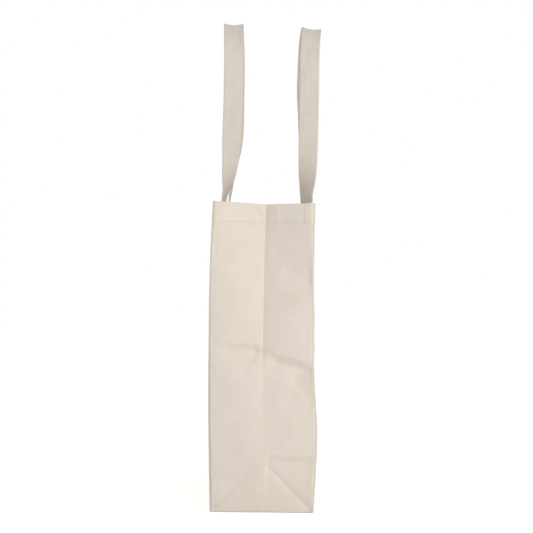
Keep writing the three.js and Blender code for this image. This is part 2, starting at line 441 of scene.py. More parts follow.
def faded(along, length, fade):
    """1 along a line, falling to 0 over the given lengths at its two ends."""
    start = ease(along, 0, fade[0]) if fade[0] else 1
    end = ease(length - along, 0, fade[1]) if fade[1] else 1
    return start * end


def crease(across, up, line, depth, banks, fade=(0, 0)):
    """A valley pressed along a line. Banks are the reach of its left and right sides."""
    nearest, hand, along, length = beside(across, up, line)
    reach = np.where(hand > 0, banks[0], banks[1])
    shape = np.exp((CREASE_ROUND - np.hypot(nearest, CREASE_ROUND)) / reach)
    return -depth * shape * faded(along, length, fade)


def ledge(across, up, line, depth, height, below, fade=(0, 0)):
    """Cloth that leans in over a strip above a line and comes back slowly below it."""
    nearest, hand, along, length = beside(across, up, line)
    shape = np.where(hand > 0, 1 - ease(nearest, 0, height), np.exp(-nearest / below))
    return -depth * shape * faded(along, length, fade)


print("halfway up a smooth rise:", ease(0.5, 0, 1))

# %% [markdown]
# ## From a function to a cloth mesh
#
# A sheet has two faces and an edge all round. The outer face is the function on a grid of lines, and the
# inner face is the same grid moved inwards by the cloth's thickness. Where an edge shows, such as the rim
# of the hem, the two faces close in a half round. Hidden edges inside a seam stay square. The grid lines
# lie close where the cloth turns and far apart where it is flat. Each piece takes its flat coordinates from
# another place on the roll of cloth, so that no two pieces show the same flecks. No cloth sinks below the
# floor.

# %% Make a piece from points and faces
ROLL_STEP = 437.0


def add_piece(name, points, faces, flat, finish, square=0):
    """A closed piece from points in millimetres. Its last faces, `square` of them, keep sharp borders."""
    mesh = bpy.data.meshes.new(name)
    mesh.from_pydata((np.asarray(points) * MM).tolist(), [], [list(face) for face in faces])
    mesh.shade_smooth()
    corner_points = np.empty(len(mesh.loops), int)
    corner_edges = np.empty(len(mesh.loops), int)
    mesh.loops.foreach_get("vertex_index", corner_points)
    mesh.loops.foreach_get("edge_index", corner_edges)
    sharp = np.zeros(len(mesh.edges), bool)
    if square:
        first_corner = mesh.polygons[len(faces) - square].loop_start
        sharp[corner_edges[first_corner:]] = True
    mesh.attributes.new("sharp_edge", "BOOLEAN", "EDGE").data.foreach_set("value", sharp)
    place_on_roll = np.asarray(flat) + (0, ROLL_STEP * len(bpy.data.meshes))
    layer = mesh.uv_layers.new(name=FLAT_MAP)
    layer.data.foreach_set("uv", (place_on_roll * MM)[corner_points].ravel())
    mesh.materials.append(finish)
    mesh.validate()
    return added(name, mesh)


def lines(*stretches):
    """Grid lines along one direction, from stretches of (start, end, step) that follow one another."""
    parts = []
    for start, end, step in stretches:
        count = max(1, round(abs(end - start) / step))
        parts.append(np.linspace(start, end, count, endpoint=False))
    return np.concatenate(parts + [[stretches[-1][1]]])


def unit(vectors):
    return vectors / np.linalg.norm(vectors, axis=-1, keepdims=True)


# %% Make a sheet with two faces and an edge


def sheet(name, face, us, vs, thickness, outward, round_rim=False):
    """A cloth sheet on the grid of us and vs. Thickness is a function of v, outward tells the outer face."""
    u, v = np.meshgrid(us, vs, indexing="ij")
    outer = face(u, v)
    normal = unit(np.cross(np.gradient(outer, axis=0), np.gradient(outer, axis=1)))
    turned = np.sum(normal * outward) < 0
    normal = -normal if turned else normal
    thick = thickness(v)[..., None]
    open_share = np.ones_like(thick)
    if round_rim:
        to_rim = np.clip((vs[-1] - v)[..., None] / (thick / 2), 0.03, 1)
        open_share = np.sqrt(1 - (1 - to_rim) ** 2)
    middle = outer - normal * thick / 2
    reach = normal * thick / 2 * open_share
    points = np.concatenate([(middle + side * reach).reshape(-1, 3) for side in (1, -1)])
    points[:, 2] = np.maximum(points[:, 2], 0)
    index = np.arange(u.size).reshape(u.shape)
    quads = np.stack([index[:-1, :-1], index[1:, :-1], index[1:, 1:], index[:-1, 1:]], -1).reshape(-1, 4)
    rim = index[::-1, -1]
    border = np.concatenate([index[0, ::-1], index[1:, 0], index[-1, 1:]])
    edges = []
    for ring in (rim, border):
        edges.append(np.stack([ring[1:], ring[:-1], ring[:-1] + u.size, ring[1:] + u.size], -1))
    faces = np.concatenate([quads, quads[:, ::-1] + u.size] + edges)
    faces = faces[:, ::-1] if turned else faces
    flat = np.tile(np.stack([u, v], -1).reshape(-1, 2), (2, 1))
    square = len(edges[1]) if round_rim else len(edges[0]) + len(edges[1])
    return add_piece(name, points, faces, flat, CANVAS, square)


def hem_thickness(v):
    """Single cloth below the hem, and double cloth in it."""
    return CLOTH + (HEM - CLOTH) * ease(v, HEM_FOOT - 0.4, HEM_FOOT + 0.4)


print(f"cloth {CLOTH:.1f} mm, hem {HEM:.1f} mm")

# %% [markdown]
# ## The front and rear panels
#
# The two large panels carry the handles. The weight of the handles draws the middle of the hem inwards
# while the corners stay out, so each panel is slightly hollow at the top and full at the bottom. Its side
# edges turn round the corner into the seam with the gusset, and its foot turns under the bag. The bag was
# once stored folded, which left a crease across each panel. The corners' own lines are read off the
# photograph where it shows them, and the far corners are chosen alike.

# %% How far each part of a panel stands inside the flat frame
CORNER_INSETS = {
    ("front", "right"): [(0, 1.3), (90, -1.4), (200, -2.6), (310, -1.7), (371, 0.7)],
    ("rear", "right"): [(0, 0.3), (40, -1.7), (90, -3.3), (160, 0.9), (230, 2.7), (325, 3.1), (371, 2.8)],
    ("front", "left"): [(0, 1.3), (100, -1.1), (215, -1.9), (371, 1.6)],
    ("rear", "left"): [(0, 1.3), (95, -1.6), (180, 0.9), (371, 2.8)],
}
RIM_RISES = {("front", "right"): 2.5, ("rear", "right"): 1.4, ("front", "left"): 1.2, ("rear", "left"): 1.8}
BELLY = {
    "front": [(0, 1.5), (60, -1.0), (140, -2.2), (240, 1.2)],
    "rear": [(0, 1.5), (70, -1.6), (150, -1.2), (240, 1.6)],
}
FOLD_LINES = {
    "front": [[(-185, 191), (-60, 197), (70, 194), (185, 200)]],
    "rear": [[(-185, 186), (-40, 181), (80, 183), (185, 179)], [(-185, 63), (20, 60), (185, 58)]],
}
BOW_MIDDLE = LEG + TAPE_WIDTH / 2 + STITCH_INSET
BOW_EDGE = HALF_WIDTH - ALLOWANCE - SEAM_GAP
PANEL_SEEDS = {"front": 11, "rear": 23}
PANEL_WAVES = [(2.6, 150), (0.9, 48)]
DRAG = 1.5
FOLD_DEPTH = 1.2
FOLD_BANKS = (5, 13)


def at_seat(x, z):
    """1 where a handle is sewn to the panel, 0 away from it."""
    away = abs(abs(x) - LEG)
    return (1 - ease(away, TAPE_WIDTH / 2 + 1, TAPE_WIDTH / 2 + 14)) * ease(z, HEM_FOOT - 16, HEM_FOOT - 2)


def drag_folds(side, x, z):
    """Soft folds that fan out below each sewn handle end."""
    total = 0
    for place in (-LEG, LEG):
        away = np.hypot(x - place, HEM_FOOT - z)
        angle = np.arctan2(x - place, HEM_FOOT - z)
        below = ease(HEM_FOOT - z, 0, 12)
        fan = np.cos(5 * angle + 0.9 * SIGN[side] + place / LEG)
        total = total + below * (1 - np.exp(-away / 14)) * np.exp(-away / 75) * fan
    return DRAG * total


def panel_inset(side, x, z):
    """How far the outer face of a panel stands inside the flat face of the frame."""
    part = (x + HALF_WIDTH) / (2 * HALF_WIDTH)
    left, right = (through(z, CORNER_INSETS[side, hand]) for hand in ("left", "right"))
    edge = left + (right - left) * part
    middle = through(z, BELLY[side] + [(HEM_FOOT, BOW[side]), (RIM + 2, BOW[side])])
    inset = edge + (middle - edge) * (1 - ease(abs(x), BOW_MIDDLE, BOW_EDGE))
    free = ease(HALF_WIDTH - abs(x), 3, 45) * ease(z, 0, 40) * (1 - at_seat(x, z))
    inset = inset + free * (soft_waves(PANEL_SEEDS[side], PANEL_WAVES, x, z) + drag_folds(side, x, z))
    for line in FOLD_LINES[side]:
        inset = inset - crease(x, z, line, FOLD_DEPTH, FOLD_BANKS) * ease(HALF_WIDTH - abs(x), 2, 30)
    return inset


bows = {side: round(float(panel_inset(side, 0.0, RIM)), 1) for side in SIGN}
print("the hem's middle stands", bows, "mm inside")

# %% The outer face of a panel, with its turned edges
EDGE_RUN = 10.0
EDGE_DEEP = 1.5
FOOT_ROLL = 1.3
SEAM_TURN = 2.6
TAPE_PRINT = 0.35
ROW_DENT = 0.1
PUCKER = 0.22
HEM_STEP = 0.14
RIM_LIP = 0.16


def rolled(past, run, deep):
    """How far a turned edge runs on and how far it turns in, for a length of cloth past the flat."""
    angle = np.clip(past / run, 0, SEAM_TURN)
    return run * np.sin(angle), deep * (1 - np.cos(angle))


def hem_relief(along, z):
    """The sewn row dents and puckers the hem a little, and the turned edge shows below it."""
    dent = -ROW_DENT * np.exp(-((z - HEM_ROW) / 0.9) ** 2)
    pucker = PUCKER * waves(5, 11, along, 0 * along) * np.exp(-((z - HEM_ROW) / 7) ** 2)
    step = HEM_STEP * ease(z, HEM_FOOT - 1.6, HEM_FOOT + 0.8)
    lip = -RIM_LIP * np.exp(-((z - RIM + 4) / 0.8) ** 2)
    return dent + pucker + step + lip


def panel_face(side):
    rises = [(HAND[hand] * HALF_WIDTH, RIM_RISES[side, hand]) for hand in ("left", "right")]
    rim_line = [rises[0], (-90, 0.3), (0, -0.3), (90, 0.3), rises[1]]

    def face(s, v):
        flat = HALF_WIDTH - EDGE_RUN
        run, turn_in = rolled(abs(s) - flat, EDGE_RUN, EDGE_DEEP)
        x = np.sign(s) * (np.minimum(abs(s), flat) + run)
        drop, foot_in = rolled(FOOT_ROLL - v, FOOT_ROLL, FOOT_ROLL)
        z = np.maximum(v, FOOT_ROLL) - drop + through(x, rim_line) * ease(v, HEM_FOOT, RIM)
        out = HALF_DEPTH - panel_inset(side, x, z) - turn_in - foot_in
        out = out + hem_relief(x, v) * ease(HALF_WIDTH - abs(x), 2, 8)
        over_tape = 1 - ease(abs(abs(x) - LEG), TAPE_WIDTH / 2 - 0.6, TAPE_WIDTH / 2 + 1.2)
        out = out + TAPE_PRINT * over_tape * ease(v, HEM_FOOT - 0.8, HEM_FOOT + 1)
        return np.stack([x, SIGN[side] * out, z], -1)

    return face


# %% Make the two panels
edge_end = HALF_WIDTH - EDGE_RUN + EDGE_RUN * SEAM_TURN
foot_end = FOOT_ROLL - FOOT_ROLL * SEAM_TURN
turn_start = HALF_WIDTH - EDGE_RUN


def sheet_rows(cloth_step, hem_step):
    """Grid lines from the foot to the rim, close together where the cloth turns or is sewn."""
    return lines(
        (foot_end, FOOT_ROLL, 0.5),
        (FOOT_ROLL, HEM_FOOT - 5, cloth_step),
        (HEM_FOOT - 5, HEM_ROW + 3, 0.45),
        (HEM_ROW + 3, RIM - 6, hem_step),
        (RIM - 6, RIM - 0.8, 0.5),
        (RIM - 0.8, RIM, 0.1),
    )


PANEL_COLUMNS = lines(
    (-edge_end, -turn_start, 0.8),
    (-turn_start, turn_start, 2.4),
    (turn_start, edge_end, 0.8),
)
SHEET_ROWS = sheet_rows(2.2, 1.6)

FACES = {}
for side in SIGN:
    FACES[side] = panel_face(side)
    panel = sheet(f"{side}_cloth", FACES[side], PANEL_COLUMNS, SHEET_ROWS, hem_thickness,
                  (0, SIGN[side], 0), round_rim=True)
    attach(panel, f"{side}_side")
    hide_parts(f"{side}_panel")
    print(panel.name, len(panel.data.polygons), "faces")

# %% [markdown]
# ## The gussets
#
# A gusset is the narrow side of the bag. It was pressed when the bag was folded flat: it is tucked inwards
# along a middle crease at the mouth, the tuck runs out above the foot, and from there two creases run down
# to the corners as a triangle. Each half is a sheet of its own that meets the other at the middle crease.
# Between its seam and the middle crease a half is more hollow near the foot than near the hem. One half is
# almost straight in its upper part, because the photograph shows it evenly lit there. Creases are valleys
# with two banks, and one with a negative depth is a soft ridge. Ledges are the folds across the gusset: the
# cloth leans in above them and comes back below.

# %% The lines of the gussets
SEAM_INSET = 1.9
SEAM_ROLL = 1.5
RELIEF_FADE = 3.5
SEAM_GROOVES = {
    ("front", "right"): [(0, 3.4), (170, 3.6), (230, 1.4), (330, 1.0), (371, 2.2)],
    ("rear", "right"): [(0, 0.7), (371, 0.7)],
    ("front", "left"): [(0, 1.4), (371, 1.0)],
    ("rear", "left"): [(0, 1.0), (371, 1.2)],
}
GUSSET_HALF = 60.0
MIDDLE_LINES = {
    "right": [(0, 2.4), (60, 2.4), (194, -0.2), (371, 1.3)],
    "left": [(0, -1.8), (62, -1.6), (200, 0.8), (371, -0.6)],
}
GUSSET_LEDGES = {
    "right": [
        ([(-66, 199), (-50, 195), (-42, 193), (-13, 193), (-8, 191), (-1, 187)], 4.4, 11, 10, (34, 12)),
        ([(-1, 184), (30, 175), (66, 166)], 5.4, 13, 34, (20, 26)),
        ([(3, 60), (66, 57.5)], 2.4, 11, 25, (6, 14)),
    ],
    "left": [
        ([(-66, 191), (-22, 189), (0, 194), (24, 189), (66, 186)], 1.2, 9, 12, (0, 0)),
    ],
}
GUSSET_CREASES = {
    "right": [
        ([(-14, 193), (-7, 190.5), (-1, 186.5)], 1.2, (3, 2), (5, 0)),
        ([(-1, 191.5), (18, 187.5)], 1.0, (2, 3), (0, 12)),
        ([(-65, 205), (-52, 200.5)], 0.8, (2, 2), (3, 4)),
        ([(3, 60), (-17, 42.5), (-60, 2)], 2.4, (1.8, 1.8), (66, 2)),
        ([(2.4, 59.4), (62.4, 0.4)], 1.6, (2.6, 5.5), (4, 0)),
        ([(-7.5, 364), (-6, 357), (-2.6, 347.5)], 1.5, (1.6, 1.6), (4, 3)),
        ([(14.6, 369), (15, 330)], -1.2, (14, 7), (2, 18)),
        ([(6, 312), (30, 292), (66, 268)], 1.25, (14, 10), (16, 6)),
        ([(34, 168), (62, 122)], 1.3, (12, 9), (14, 8)),
    ],
    "left": [
        ([(-2, 61), (-66, 59)], 0.8, (10, 6), (10, 0)),
        ([(-2, 61), (-60, 2)], 0.9, (5, 5), (10, 0)),
        ([(-2, 61), (20, 39), (61, 2)], 0.8, (5, 4), (18, 6)),
        ([(-10, 330), (-38, 292), (-66, 270)], 0.7, (9, 9), (16, 6)),
        ([(9, 369), (10, 338)], 0.35, (2.5, 2.5), (2, 14)),
    ],
}
GUSSET_SEEDS = {"right": 31, "left": 47}
GUSSET_WAVES = [(0.7, 60), (0.25, 22)]
HEM_BACKING = 0.6
BACKING_EDGE = (47, 49)
TUCK_CLIMB = 1.5
HOLLOW_FOOT = 3.5
HOLLOW_TOP = 1.1
HOLLOWS = {(side, hand): [(TUCK_FOOT, HOLLOW_FOOT), (HEM_FOOT, HOLLOW_TOP)] for side in SIGN for hand in HAND}
HOLLOWS["rear", "right"] = [(TUCK_FOOT, HOLLOW_FOOT), (130, 2.93), (180, 2.51), (205, 2.2), (236, 1.55),
                            (260, 1.1), (280, 0.9), (300, 0.94), (HEM_FOOT, 1.06)]


def tuck(z, part, hollow):
    """How deep the gusset is tucked in, from its corner seam, part 0, to its middle crease, part 1."""
    climb = np.clip((z - TUCK_FOOT) / (HEM_FOOT - TUCK_FOOT), 0, 1)
    return TUCK * climb ** TUCK_CLIMB * part ** through(z, hollow)


def gusset_relief(hand, y, z):
    """What the pressed creases, the seam allowances behind the hem and soft waves add to a gusset."""
    total = soft_waves(GUSSET_SEEDS[hand], GUSSET_WAVES, y, z)
    for fold, table in ((crease, GUSSET_CREASES), (ledge, GUSSET_LEDGES)):
        for line, *shape in table[hand]:
            total = total + fold(y, z, line, *shape)
    behind_hem = ease(z, HEM_FOOT - 2, HEM_FOOT + 2) * ease(abs(y), *BACKING_EDGE)
    return total + HEM_BACKING * behind_hem


def corner_place(side, hand, z):
    return SIGN[side] * (HALF_DEPTH - through(z, CORNER_INSETS[side, hand]))


print("tuck at the rim", round(float(tuck(RIM, 1, HOLLOWS["front", "right"])), 1), "mm")

# %% The outer face of one half of a gusset
PRESSED_TOP = 0.7
PRESSED_ALL = 0.25


def gusset_face(hand, side):
    def face(d, v):
        drop, foot_in = rolled(FOOT_ROLL - v, FOOT_ROLL, FOOT_ROLL)
        z = np.maximum(v, FOOT_ROLL) - drop
        part = d / GUSSET_HALF
        seam = corner_place(side, hand, z) - SIGN[side] * SEAM_INSET
        middle = through(z, MIDDLE_LINES[hand])
        y = seam + (middle - seam) * part
        from_seam = abs(y - seam)
        from_middle = abs(y - middle)
        roll = np.clip(1 - from_seam / SEAM_ROLL, 0, 1)
        roll_in = through(z, SEAM_GROOVES[side, hand]) * (1 - np.sqrt(1 - roll ** 2))
        pressed = PRESSED_TOP * ease(z, 150, 230) * np.exp(-from_middle / 5)
        pressed = pressed + PRESSED_ALL * np.exp(-from_middle / 3)
        relief = (gusset_relief(hand, y, z) + hem_relief(y, v)) * ease(from_seam, 0, RELIEF_FADE)
        depth = tuck(z, part, HOLLOWS[side, hand])
        out = HALF_WIDTH - depth - roll_in - foot_in - pressed * ease(z, 55, 70) + relief
        rise = RIM_RISES[side, hand] * (1 - part) * ease(v, HEM_FOOT, RIM)
        return np.stack([HAND[hand] * out, y, z + rise], -1)

    return face


# %% Make the four halves and the seam allowances behind them
HALF_COLUMNS = {
    "right": lines((0, 2.4, 0.3), (2.4, GUSSET_HALF, 1.2)),
    "left": lines((0, 2.4, 0.4), (2.4, GUSSET_HALF, 2.0)),
}
HALF_ROWS = {"right": sheet_rows(1.2, 1.2), "left": SHEET_ROWS}
ALLOWANCE_INSET = 6.0
ALLOWANCE_ROWS = lines((3, HEM_FOOT, 2.4))


def allowance_face(side, hand):
    """The seam allowance lies against the inner face of the panel, a little loose."""
    def face(w, v):
        x = HAND[hand] * (HALF_WIDTH - ALLOWANCE_INSET - w)
        loose = 0.35 + 0.35 * (1 + waves(61 + len(side + hand), 30, w, v)) * ease(w, 2, ALLOWANCE)
        out = HALF_DEPTH - panel_inset(side, x, v) - CLOTH - loose
        return np.stack([x, SIGN[side] * out, v], -1)

    return face


def follow_lean(piece, hand, side):
    """Works out the middle crease's outermost place, which is not used, and bakes the piece's place into its
    mesh.
    """
    middles = [place for _, place in MIDDLE_LINES[hand]]
    start = min(middles) if side == "front" else max(middles)
    start * MM
    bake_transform(piece)


for hand in HAND:
    for side in SIGN:
        FACES[hand, side] = gusset_face(hand, side)
        half = sheet(f"{hand}_gusset_{side}_half", FACES[hand, side], HALF_COLUMNS[hand], HALF_ROWS[hand],
                     hem_thickness, (HAND[hand], 0, 0), round_rim=True)
        FACES["allowance", hand, side] = allowance_face(side, hand)
        strip = sheet(f"{side}_{hand}_allowance", FACES["allowance", hand, side], lines((0, ALLOWANCE, 1)),
                      ALLOWANCE_ROWS, lambda v: np.full_like(v, HEM), (0, SIGN[side], 0))
        follow_lean(half, hand, side)
        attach(strip, f"{side}_side")
        for cloth in (half, strip):
            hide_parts(f"{hand}_gusset")
        print(half.name, len(half.data.polygons), "faces")

# %% [markdown]
# ## The base
#
# The base is the piece that the bag stands on. It lies on the floor, a little wavy where nothing presses it
# down, and its edges lift into the seams all round.

# %% Make the base
BASE_X = HALF_WIDTH - 3.0
BASE_Y = HALF_DEPTH - 4.4
BASE_LIFT = 0.6
BASE_RIPPLE = 0.8
BASE_SEED = 71


def base_lines(reach):
    """Grid lines across the base, close together along its edges."""
    return lines((-reach, -reach + 6, 1), (-reach + 6, reach - 6, 4), (reach - 6, reach, 1))


def base_face(x, y):
    from_edge = np.minimum(BASE_X - abs(x), BASE_Y - abs(y))
    lift = 0.1 + BASE_LIFT * np.exp(-np.clip(from_edge, 0, None) / 1.4)
    ripple = BASE_RIPPLE * (1 + waves(BASE_SEED, 70, x, y)) * ease(from_edge, 2, 40)
    return np.stack([x, y, lift + ripple], -1)


base = sheet("base_cloth", base_face, base_lines(BASE_X), base_lines(BASE_Y),
             lambda v: np.full_like(v, CLOTH), (0, 0, -1))
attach(base, "box")
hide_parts("base_panel")
print(base.name, len(base.data.polygons), "faces")

# %% [markdown]
# ## The handles
#
# Each handle is one length of 25 mm tape. Its two ends are sewn flat inside the hem, and above the rim the
# tape turns by about a quarter, so that the arch shows its edge to the front of the bag and its face to the
# sides. The far leg of the rear handle turns on further, because a dark strip of it shows beside the near
# leg. One section is swept along the whole tape: it turns with the leg, bends round the arch and is
# slightly cupped at the crest. The woven edges are thicker than the middle and finely scalloped.

# %% How each leg of a handle turns and leans above the rim
TURNS = {
    ("front", "right"): [(-25, 0), (0, 3), (10, 9), (20, 14), (33, 32), (69, 62), (85, 77), (100, 83)],
    ("front", "left"): [(-25, 0), (0, 0), (17, 4), (45, 25), (59, 36), (86, 69), (105, 83)],
    ("rear", "right"): [
        (-25, 0), (-6, 0), (-3, 0), (0, 3), (6, 31), (16, 37), (23, 43), (36, 56), (61, 74), (90, 83),
    ],
    ("rear", "left"): [(-25, 0), (0, 2), (16, 16), (36, 38), (61, 68), (100, 110), (138, 150)],
}
LEANS = {
    ("front", "right"): [(-25, 0), (0, 0.4), (10, 1.7), (33, 6.2), (56, 9.1), (100, 11.2), (175, 12.3)],
    ("front", "left"): [(-25, 0), (0, 0.8), (17, 4.6), (45, 5.5), (73, 7.3), (100, 9.9), (175, 11.4)],
    ("rear", "right"): [(-25, 0), (0, 0.6), (10, 2.1), (36, 1.6), (100, 0.8), (175, 0.3)],
    ("rear", "left"): [
        (-25, 0), (0, 0.6), (16, 0.9), (36, -1.5), (61, -3.8),
        (100, -2.4), (120, 1.0), (140, 4.6), (157, 5.7), (175, 6.5),
    ],
}
CREST_LIFT = {"front": 1.3, "rear": -3.2}
CREST_SHIFT = {"front": 2.0, "rear": 6.1}
CREST_TILT = {"front": 0.0, "rear": math.radians(-6.5)}
CUP = 2.1
STATION = 0.65
SCALLOP_PITCH = 2.7
SCALLOP_DEPTH = 0.42
ARCH_MIDDLE = CREST - TAPE / 2 - LEG


def leg(side, hand, heights):
    """The middle line of a leg and the direction of its outer edge, by height above the rim."""
    turn = np.radians(through(heights, TURNS[side, hand]))
    out = SEAT[side] - through(heights, LEANS[side, hand])
    level = np.zeros_like(heights)
    middle = np.stack([HAND[hand] * LEG + level, SIGN[side] * out, RIM + heights], -1)
    across = np.stack([HAND[hand] * np.cos(turn), SIGN[side] * np.sin(turn), level], -1)
    return middle, across


def arch(side, count):
    """The middle line of the arch from the right leg to the left one."""
    angle = np.linspace(0, math.pi, count + 2)[1:-1]
    bend = np.sin(angle)
    leans = [float(through(ARCH_MIDDLE - RIM, LEANS[side, hand])) for hand in ("right", "left")]
    lean = leans[0] + (leans[1] - leans[0]) * angle / math.pi - CREST_SHIFT[side] * bend ** 2
    height = ARCH_MIDDLE + (LEG + CREST_LIFT[side]) * bend
    middle = np.stack([LEG * np.cos(angle), SIGN[side] * (SEAT[side] - lean), height], -1)
    ends = [math.radians(90 - TURNS[side, hand][-1][1]) for hand in ("right", "left")]
    end = np.where(angle < math.pi / 2, *ends)
    tilt = end + (CREST_TILT[side] - end) * bend ** 2
    rise = np.sin(tilt)
    across = np.stack([rise * np.cos(angle), SIGN[side] * np.cos(tilt), rise * bend], -1)
    return middle, across, CUP * bend ** 2


# %% Sweep the tape's section along a handle
TAPE_HALF = TAPE_WIDTH / 2
EDGE_ROUND = 0.9
EDGE_CORD = 0.2


def tape_section():
    """Half of the tape's thickness at places across it, with corded edges."""
    place = TAPE_HALF * np.sin(np.linspace(-math.pi / 2, math.pi / 2, 19))
    from_edge = TAPE_HALF - abs(place)
    bevel = np.clip(1 - from_edge / EDGE_ROUND, 0, 1)
    cord = EDGE_CORD * np.exp(-((from_edge - 1.0) / 0.7) ** 2)
    return place, (TAPE / 2 + cord) * np.sqrt(1 - bevel ** 2)


def handle(side):
    heights = lines((HEM_FOOT - RIM + 0.8, ARCH_MIDDLE - RIM, STATION))
    arch_middle, arch_across, arch_cup = arch(side, round(math.pi * LEG / STATION))
    right, right_across = leg(side, "right", heights)
    left, left_across = leg(side, "left", heights[::-1])
    middle = np.concatenate([right, arch_middle, left])
    across = np.concatenate([right_across, arch_across, left_across])
    cup = np.concatenate([0 * heights, arch_cup, 0 * heights])
    steps = np.linalg.norm(np.diff(middle, axis=0), axis=1)
    length = np.concatenate([[0], np.cumsum(steps)])
    ahead = unit(np.gradient(middle, axis=0))
    across = unit(across - ahead * np.sum(across * ahead, axis=1, keepdims=True))
    facing = np.cross(across, ahead)
    outside = np.sign(np.sum(facing * (middle - (0, 0, ARCH_MIDDLE)), axis=1))[len(middle) // 2]
    place, half = tape_section()
    ring_place = np.concatenate([place, place[-2:0:-1]])
    ring_half = np.concatenate([half, -half[-2:0:-1]])
    at_edge = (abs(ring_place) / TAPE_HALF) ** 8
    scallop = SCALLOP_DEPTH * np.cos(math.tau * length / SCALLOP_PITCH)[:, None] * at_edge
    wide = ring_place * (1 + scallop / TAPE_HALF)
    deep = ring_half + outside * cup[:, None] * (ring_place / TAPE_HALF) ** 2
    points = middle[:, None] + across[:, None] * wide[..., None] + facing[:, None] * deep[..., None]
    return points, ring_place + TAPE_HALF, length


def tube(name, points, around, length, finish, square=0):
    """A closed tube from rings of points, with the flat place round a ring and along the tube."""
    index = np.arange(points[..., 0].size).reshape(points.shape[:2])
    after = np.roll(index, -1, axis=1)
    quads = np.stack([index[:-1], index[1:], after[1:], after[:-1]], -1).reshape(-1, 4)
    faces = quads.tolist() + [index[0].tolist(), index[-1, ::-1].tolist()]
    flat = np.stack(np.broadcast_arrays(around, length[:, None]), -1).reshape(-1, 2)
    return add_piece(name, points.reshape(-1, 3), faces, flat, finish, square)


for side in SIGN:
    tape = tube(f"{side}_tape", *handle(side), WEBBING, square=2)
    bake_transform(tape)
    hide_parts(f"{side}_handle", f"{side}_left_handle_end", f"{side}_right_handle_end")
    print(tape.name, len(tape.data.polygons), "faces")

# %% [markdown]
# ## Stitches
#
# A sewn row is a line of short stitches that dip into the cloth at both ends. Each one is a small closed
# capsule that arches over the cloth, laid on the same functions as the cloth itself, so that it follows
# every fold. The rows show on both faces, as a lockstitch does.

# %% Lay stitches along lines on a sheet
STITCH = 3.0
THREAD_RADIUS = 0.24
STITCH_RINGS = np.linspace(-1, 1, 7)
STITCH_SIDES = 6
PROBE = 0.2


def on_sheet(face, route, outward, below=0.0):
    """Points and normals along a route of (u, v) corners on a sheet, on its outer face or below it."""
    route = np.array(route, float)
    lengths = np.concatenate([[0], np.cumsum(np.hypot(*np.diff(route, axis=0).T))])
    at = np.linspace(0, lengths[-1], max(3, round(lengths[-1] / 0.6)))
    u, v = (np.interp(at, lengths, route[:, axis]) for axis in (0, 1))
    points = face(u, v)
    across = face(u + PROBE, v) - face(u - PROBE, v)
    along = face(u, v + PROBE) - face(u, v - PROBE)
    normals = unit(np.cross(across, along))
    normals = normals * np.sign(np.sum(normals * outward, axis=-1, keepdims=True))
    if below:
        return points - normals * below, -normals
    return points, normals


def along_row(at, lengths, values):
    """The points or normals of a row at the given lengths along it."""
    return np.stack([np.interp(at, lengths, values[:, axis]) for axis in range(3)], -1)


def capsules(points, normals):
    """The points of every stitch along one row: (stitch, ring, side, xyz)."""
    lengths = np.concatenate([[0], np.cumsum(np.linalg.norm(np.diff(points, axis=0), axis=1))])
    count = max(1, round(lengths[-1] / STITCH))
    at = (np.arange(count)[:, None] + 0.5 + 0.44 * STITCH_RINGS) * lengths[-1] / count
    middle = along_row(at, lengths, points)
    up = unit(along_row(at, lengths, normals))
    ahead = unit(np.gradient(middle, axis=1))
    sideways = np.cross(up, ahead)
    radius = THREAD_RADIUS * np.sqrt(1 - 0.93 * STITCH_RINGS ** 4)
    lift = THREAD_RADIUS * (0.2 - 1.1 * STITCH_RINGS ** 4)
    angle = np.arange(STITCH_SIDES) * math.tau / STITCH_SIDES
    high = (lift[:, None] + radius[:, None] * np.sin(angle))[None, ..., None]
    wide = (radius[:, None] * np.cos(angle))[None, ..., None]
    return middle[:, :, None] + up[:, :, None] * high + sideways[:, :, None] * wide


def sewn(name, rows):
    """One piece of thread with the stitches of several rows, each given as points and normals."""
    stitches = np.concatenate([capsules(points, normals) for points, normals in rows])
    count, rings, sides = stitches.shape[:3]
    index = np.arange(stitches[..., 0].size).reshape(count, rings, sides)
    after = np.roll(index, -1, axis=2)
    quads = np.stack([index[:, :-1], after[:, :-1], after[:, 1:], index[:, 1:]], -1).reshape(-1, 4)
    faces = quads.tolist() + index[:, 0, ::-1].tolist() + index[:, -1].tolist()
    flat = np.stack(np.broadcast_arrays(np.arange(sides) * 0.35, np.arange(rings)[:, None] * 0.4), -1)
    flat = np.tile(flat.reshape(-1, 2), (count, 1))
    return add_piece(name, stitches.reshape(-1, 3), faces, flat, THREAD)


# %% Sew the hem, the tacks and the corner seams
TACK_LOW = HEM_FOOT + SEAM_GAP + STITCH_INSET + 1.5
TACK_HIGH = RIM - 2.7
TACK_HALF = TAPE_HALF - STITCH_INSET
ROW_END = HALF_WIDTH - 6
CORNER_ROW = 5.5
CORNER_FOOT = 4
CORNER_SINK = 0.16


def finish_thread(piece, node, body=None):
    if body:
        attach(piece, body)
    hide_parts(node)


def both_faces(face, routes, outward, thick):
    """Rows on the outer face of a sheet, each with its row on the far side of what the thread holds."""
    return [on_sheet(face, route, outward, below) for route in routes for below in (0, thick)]


def tack_routes(middle):
    """A square with a cross, on the sewn end of a handle."""
    low, high = middle - TACK_HALF, middle + TACK_HALF
    square = [(low, TACK_LOW), (high, TACK_LOW), (high, TACK_HIGH), (low, TACK_HIGH), (low, TACK_LOW)]
    return [square, [square[0], square[2]], [square[3], square[1]]]


